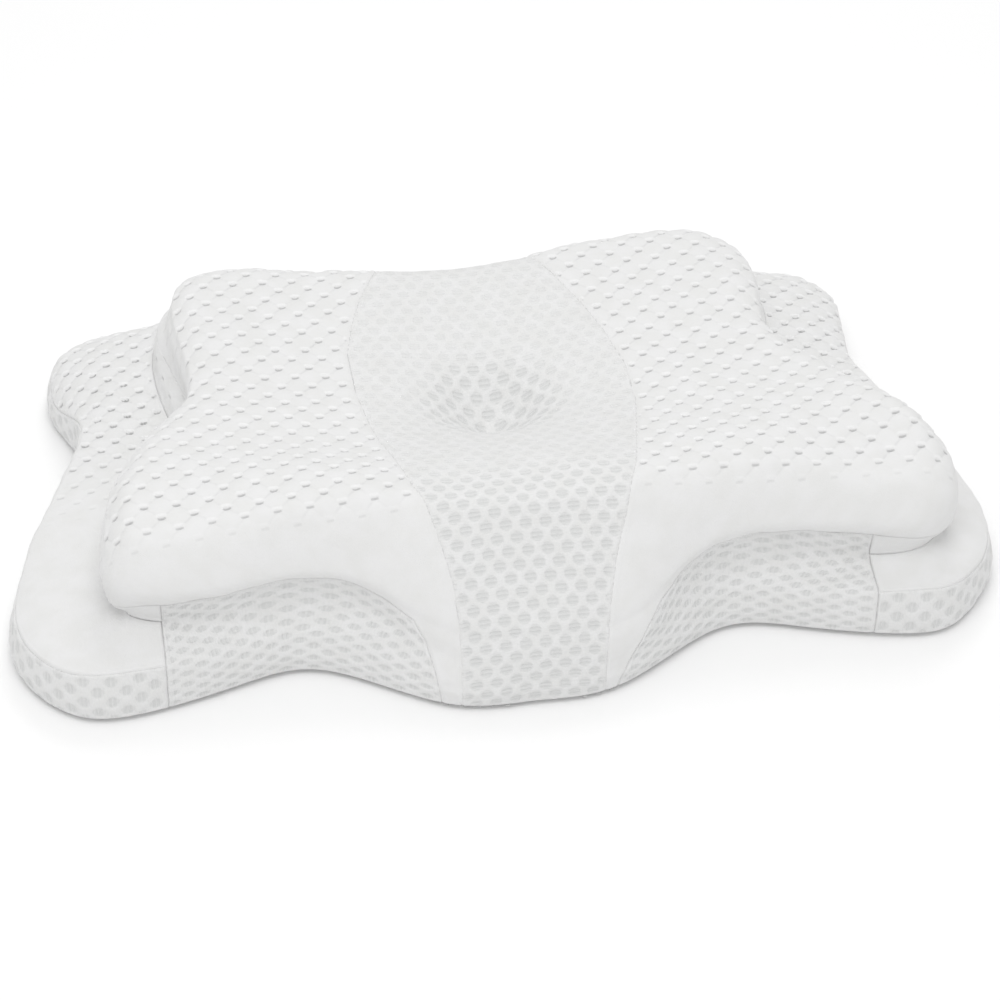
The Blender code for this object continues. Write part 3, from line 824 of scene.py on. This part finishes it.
class Shader:
    """A material's node tree, with short calls for the nodes that the cloth needs."""

    def __init__(self, name):
        self.material = bpy.data.materials.new(name)
        self.material.use_nodes = True
        self.tree = self.material.node_tree
        self.surface = self.tree.nodes["Principled BSDF"]

    def node(self, kind, inputs=(), **settings):
        made = self.tree.nodes.new(kind)
        for key, value in settings.items():
            setattr(made, key, value)
        for key, value in dict(inputs).items():
            if isinstance(value, bpy.types.NodeSocket):
                self.tree.links.new(value, made.inputs[key])
            else:
                made.inputs[key].default_value = value
        return made

    def math(self, operation, *values):
        return self.node("ShaderNodeMath", dict(enumerate(values)), operation=operation).outputs[0]

    def step(self, value, low, high, start=0.0, end=1.0):
        inputs = {"Value": value, "From Min": low, "From Max": high, "To Min": start, "To Max": end}
        return self.node("ShaderNodeMapRange", inputs, interpolation_type="SMOOTHSTEP").outputs["Result"]

    def within(self, value, whole, gone):
        """1 where the value is near zero, and 0 beyond."""
        return self.step(self.math("ABSOLUTE", value), whole, gone, 1.0, 0.0)

    def mix(self, share, first, second):
        made = self.node("ShaderNodeMix", {"Factor": share}, data_type="RGBA")
        for key, value in ((6, first), (7, second)):
            if isinstance(value, bpy.types.NodeSocket):
                self.tree.links.new(value, made.inputs[key])
            else:
                made.inputs[key].default_value = (*value, 1.0)
        return made.outputs[2]

    def cloth(self, layer):
        uv = self.node("ShaderNodeUVMap", uv_map=layer).outputs[0]
        parts = self.node("ShaderNodeSeparateXYZ", {0: uv})
        return uv, parts.outputs[0], parts.outputs[1]

    def attribute(self, name):
        return self.node("ShaderNodeAttribute", attribute_name=name).outputs["Fac"]

    def cells(self, repeat):
        """Millimetres across and along from the cell middles, for each set of rows."""
        _, u, v = self.cloth("Repeat")
        for half in (0.0, 1.0):
            across = self.math("SUBTRACT", self.math("FRACT", self.math("ADD", u, half / 2 + 0.5)), 0.5)
            along = self.math("MULTIPLY_ADD", v, 0.5, half / 2 + 0.5)
            along = self.math("SUBTRACT", self.math("FRACT", along), 0.5)
            yield (self.math("MULTIPLY", across, repeat["pitch"]),
                   self.math("MULTIPLY", along, 2 * repeat["row"]))

    def noise(self, vector, scale, detail=2.0):
        inputs = {"Vector": vector, "Scale": scale, "Detail": detail}
        return self.node("ShaderNodeTexNoise", inputs).outputs[0]

    def finish(self, colour, height, strength, distance):
        self.tree.links.new(colour, self.surface.inputs["Base Color"])
        bump = self.node("ShaderNodeBump", {"Height": height, "Strength": strength, "Distance": distance})
        self.tree.links.new(bump.outputs[0], self.surface.inputs["Normal"])
        for name, value in CLOTH_FINISH.items():
            self.surface.inputs[name].default_value = value
        return self.material


CLOTH_FINISH = {
    "Roughness": 0.9, "Sheen Weight": 0.15, "Sheen Roughness": 0.5, "Specular IOR Level": 0.2,
}
WHITE = (0.80, 0.80, 0.80)
WARM_WHITE = (0.775, 0.775, 0.768)
# painted shadow: the grey the tucks' hollows are painted, standing in for the shade in them
TUCK_SHADOW_GREY = (0.46, 0.46, 0.46)
# painted shade: the grey the creases between the scales are painted
CREASE_SHADOW_GREY = (0.64, 0.64, 0.645)
# painted highlight: the white the ridge above each tuck is painted
RIDGE_HIGHLIGHT_WHITE = (0.90, 0.90, 0.90)
# painted shade: the grey the mesh's cells are painted, standing in for the shade seen through them; the
# knit's streaks use it too
CELL_SHADE_AND_STREAK_GREY = (0.69, 0.695, 0.69)

# Finer yarn, and the painted shade in the tucks, creases and mesh cells and the painted highlight above the
# tucks, in the materials. Lengths are millimetres, and noise scales are counts in a centimetre
CELL = {"rim": (0.72, 1.12), "thread": 2.7, "rungs": 0.22, "yarn": 0.5, "dark": 0.45}
STREAKS = {"counts": (3.5, 9.0), "range": (0.42, 0.66), "strength": 0.25}
TUCK_SHADE = {"length": (1.8, 2.9), "width": (0.3, 1.1), "tilt": -0.06, "ragged": 1.2, "strength": 0.75,
              "depth": 0.8}
RIDGE_HIGHLIGHT = {"length": (2.2, 4.2), "width": (0.4, 1.7), "at": 2.3, "strength": 0.6}
CREASE_SHADE = {"width": (0.02, 0.32), "patches": (0.35, 0.65), "strength": (0.15, 0.6)}
KNIT = {"wale": 1.6, "course": 1.3, "height": 0.10}


def jacquard_material():
    s = Shader("jacquard_knit")
    uv, x, y = s.cloth("Cloth")
    _, u, v = s.cloth("Repeat")
    creases = 0.0
    for lean, share in ((-0.5, SCALE["rising"]), (0.5, SCALE["falling"])):
        turn = s.math("MULTIPLY", s.math("MULTIPLY_ADD", v, lean, u), np.pi)
        line = s.math("ABSOLUTE", s.math("SINE", turn))
        line = s.step(line, *CREASE_SHADE["width"], 1.0, 0.0)
        creases = s.math("MULTIPLY_ADD", line, share, creases)
    tucks, ridges = 0.0, 0.0
    for across, along in s.cells(JACQUARD):
        ragged = s.math("MULTIPLY_ADD", s.noise(uv, 9.0), TUCK_SHADE["ragged"], -TUCK_SHADE["ragged"] / 2)
        tilted = s.math("MULTIPLY_ADD", across, TUCK_SHADE["tilt"], along)
        long = s.within(s.math("ADD", across, ragged), *TUCK_SHADE["length"])
        tucks = s.math("MULTIPLY_ADD", long, s.within(tilted, *TUCK_SHADE["width"]), tucks)
        above = s.math("SUBTRACT", along, RIDGE_HIGHLIGHT["at"])
        wide = s.within(across, *RIDGE_HIGHLIGHT["length"])
        ridges = s.math("MULTIPLY_ADD", wide, s.within(above, *RIDGE_HIGHLIGHT["width"]), ridges)
    strength = s.attribute("pattern")
    tucks, creases, ridges = (s.math("MULTIPLY", mask, strength) for mask in (tucks, creases, ridges))
    patchy = s.step(s.noise(uv, 0.6), 0.3, 0.7)
    cloth = s.mix(patchy, WHITE, WARM_WHITE)
    # painted shade in the creases between the scales, stronger in some patches than in others
    drawn = s.step(s.noise(uv, 1.1), *CREASE_SHADE["patches"], *CREASE_SHADE["strength"])
    cloth = s.mix(s.math("MULTIPLY", creases, drawn), cloth, CREASE_SHADOW_GREY)
    # painted highlight on the ridge above each tuck
    cloth = s.mix(s.math("MULTIPLY", ridges, RIDGE_HIGHLIGHT["strength"]), cloth, RIDGE_HIGHLIGHT_WHITE)
    # painted shadow in the tucks, on top of their bump
    colour = s.mix(s.math("MULTIPLY", tucks, TUCK_SHADE["strength"]), cloth, TUCK_SHADOW_GREY)
    wales = s.math("SINE", s.math("MULTIPLY", x, 2 * np.pi * 10 / KNIT["wale"]))
    courses = s.math("SINE", s.math("MULTIPLY", y, 2 * np.pi * 10 / KNIT["course"]))
    knit = s.math("MULTIPLY", wales, courses)
    grain = s.noise(uv, 14.0, 3.0)
    height = s.math("MULTIPLY_ADD", tucks, -TUCK_SHADE["depth"], grain)
    height = s.math("MULTIPLY_ADD", knit, KNIT["height"], height)
    return s.finish(colour, height, 0.35, 0.0006)


def mesh_material(name, repeat, ladder_along):
    s = Shader(name)
    uv, x, y = s.cloth("Cloth")
    cells, ladder = 0.0, 0.0
    half_across, half_along = cell_half(repeat)
    for across, along in s.cells(repeat):
        a, b = s.math("DIVIDE", across, half_across), s.math("DIVIDE", along, half_along)
        radius = s.math("SQRT", s.math("MULTIPLY_ADD", a, a, s.math("MULTIPLY", b, b)))
        inside = s.step(radius, *CELL["rim"], 1.0, 0.0)
        thread = s.math("MULTIPLY", along if ladder_along else across, 2 * np.pi / CELL["thread"])
        rung = s.math("COSINE", thread)
        cells = s.math("ADD", cells, inside)
        ladder = s.math("MULTIPLY_ADD", rung, inside, ladder)
    # painted shade: the cells are painted darker, lighter along the threads across them and varied by yarn
    # noise
    yarn = s.noise(uv, 11.0, 3.0)
    dark = s.math("MULTIPLY_ADD", yarn, CELL["yarn"], CELL["dark"])
    shade = s.math("MULTIPLY", cells, s.math("MULTIPLY_ADD", ladder, -CELL["rungs"], dark))
    shade = s.math("MULTIPLY", shade, s.attribute("pattern"))
    counts = STREAKS["counts"] if ladder_along else STREAKS["counts"][::-1]
    drawn = dict(enumerate(s.math("MULTIPLY", place, count) for place, count in zip((x, y), counts)))
    drawn = s.node("ShaderNodeCombineXYZ", drawn).outputs[0]
    streaks = s.step(s.noise(drawn, 1.0), *STREAKS["range"])
    # the knit's long streaks add to the same darkening
    shade = s.math("MULTIPLY_ADD", streaks, STREAKS["strength"], shade)
    patchy = s.step(s.noise(uv, 0.7), 0.3, 0.7)
    cloth = s.mix(patchy, WHITE, WARM_WHITE)
    # the cells' painted shade and the streaks, mixed towards one grey
    colour = s.mix(shade, cloth, CELL_SHADE_AND_STREAK_GREY)
    height = s.math("MULTIPLY_ADD", ladder, 0.5, s.math("MULTIPLY_ADD", cells, -0.6, yarn))
    return s.finish(colour, height, 0.5, 0.0008)


def filling_material():
    s = Shader("filling_knit")
    place = s.node("ShaderNodeNewGeometry").outputs["Position"]
    grain = s.noise(place, 900.0, 2.0)
    return s.finish(s.mix(grain, WARM_WHITE, WHITE), grain, 0.3, 0.0005)


def make_cover():
    filling = make_filling(filling_material())
    jacquard = jacquard_material()
    centre = mesh_material("mesh_knit", HEX, True)
    turned = mesh_material("mesh_knit_turned", GUSSET_HEX, False)
    lens = mesh_material("mesh_knit_front", FRONT_HEX, False)
    sew("centre_mesh_panel", centre_panel(), hex_relief, centre, "mesh_knit")
    for side, sign in (("left", -1), ("right", 1)):
        for name, panel, relief, material, slot in (
            ("top_panel", top_panel, jacquard_relief, jacquard, "jacquard_knit"),
            ("side_strip", side_strip, jacquard_relief, jacquard, "jacquard_knit"),
            ("wing_panel", wing_panel, jacquard_relief, jacquard, "jacquard_knit"),
            ("wing_gusset", wing_gusset, hex_relief, turned, "mesh_knit"),
            ("front_mesh", front_mesh, hex_relief, lens, "mesh_knit"),
        ):
            sew(f"{name}_{side}", panel(sign), relief, material, slot)


FLOOR_COLOUR = (0.94, 0.94, 0.94)
FLOOR_GLOW = 0.04  # a backlit table, so that the floor stays white up to the pillow
FLOOR_SIZE = 12.0


def make_floor():
    mesh = bpy.data.meshes.new("floor")
    half = FLOOR_SIZE / 2
    corners = [(-half, -half, 0), (half, -half, 0), (half, half, 0), (-half, half, 0)]
    mesh.from_pydata(corners, [], [(0, 1, 2, 3)])
    floor = bpy.data.objects.new("floor", mesh)
    bpy.context.scene.collection.objects.link(floor)
    material = bpy.data.materials.new("floor")
    material.use_nodes = True
    shader = material.node_tree.nodes["Principled BSDF"]
    shader.inputs["Base Color"].default_value = (*FLOOR_COLOUR, 1.0)
    shader.inputs["Roughness"].default_value = 0.9
    shader.inputs["Specular IOR Level"].default_value = 0.1
    shader.inputs["Emission Color"].default_value = (1.0, 1.0, 1.0, 1.0)
    shader.inputs["Emission Strength"].default_value = FLOOR_GLOW
    mesh.materials.append(material)
    floor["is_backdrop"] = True


def make_lights():
    world = bpy.data.worlds.new("studio")
    world.use_nodes = True
    background = world.node_tree.nodes["Background"]
    background.inputs["Color"].default_value = (1.0, 1.0, 1.0, 1.0)
    background.inputs["Strength"].default_value = WORLD_STRENGTH
    bpy.context.scene.world = world
    for name, place, size, power in LIGHTS:
        light = bpy.data.lights.new(name, "AREA")
        light.shape = "SQUARE"
        light.size = size
        light.energy = power
        lamp = bpy.data.objects.new(name, light)
        lamp.location = place
        lamp.rotation_euler = (-Vector(place)).to_track_quat("-Z", "Y").to_euler()
        bpy.context.scene.collection.objects.link(lamp)


WORLD_STRENGTH = 0.72
LIGHTS = (
    ("key", (-0.3, -0.9, 2.1), 1.2, 15.0),
    ("back", (0.4, 1.2, 2.1), 1.0, 8.0),
)

# Camera: where it looks from, and the turn of its picture
AZIMUTH = -10.4551
ELEVATION = 40.0074
DISTANCE = 2.0846
SENSOR = 36.0
LENS = 3.22625 * SENSOR
AIM = (0.0, 0.0, 0.05)
AIM_RIGHT = 0.0102
AIM_UP = -0.0321
ROLL = -1.1669


def make_camera():
    azimuth, elevation, roll = np.radians([AZIMUTH, ELEVATION, ROLL])
    back = Vector((
        np.sin(azimuth) * np.cos(elevation), -np.cos(azimuth) * np.cos(elevation), np.sin(elevation),
    ))
    right = Vector((np.cos(azimuth), np.sin(azimuth), 0.0))
    up = back.cross(right)
    aim = Vector(AIM) - Vector(SIDE.shift) * MM + right * AIM_RIGHT + up * AIM_UP
    data = bpy.data.cameras.new("camera")
    data.sensor_width = SENSOR
    data.lens = LENS
    camera = bpy.data.objects.new("camera", data)
    turned_right = right * np.cos(roll) - up * np.sin(roll)
    turned_up = right * np.sin(roll) + up * np.cos(roll)
    axes = Matrix((turned_right, turned_up, back)).transposed().to_4x4()
    camera.matrix_world = Matrix.Translation(aim + back * DISTANCE) @ axes
    bpy.context.scene.collection.objects.link(camera)
    bpy.context.scene.camera = camera


make_cover()
make_floor()
make_lights()
make_camera()
bpy.context.scene.view_settings.view_transform = "Standard"

boxes = {"cad": CAD_BOX, "visual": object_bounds()}
{name: [list(corner) for corner in box] for name, box in boxes.items()}
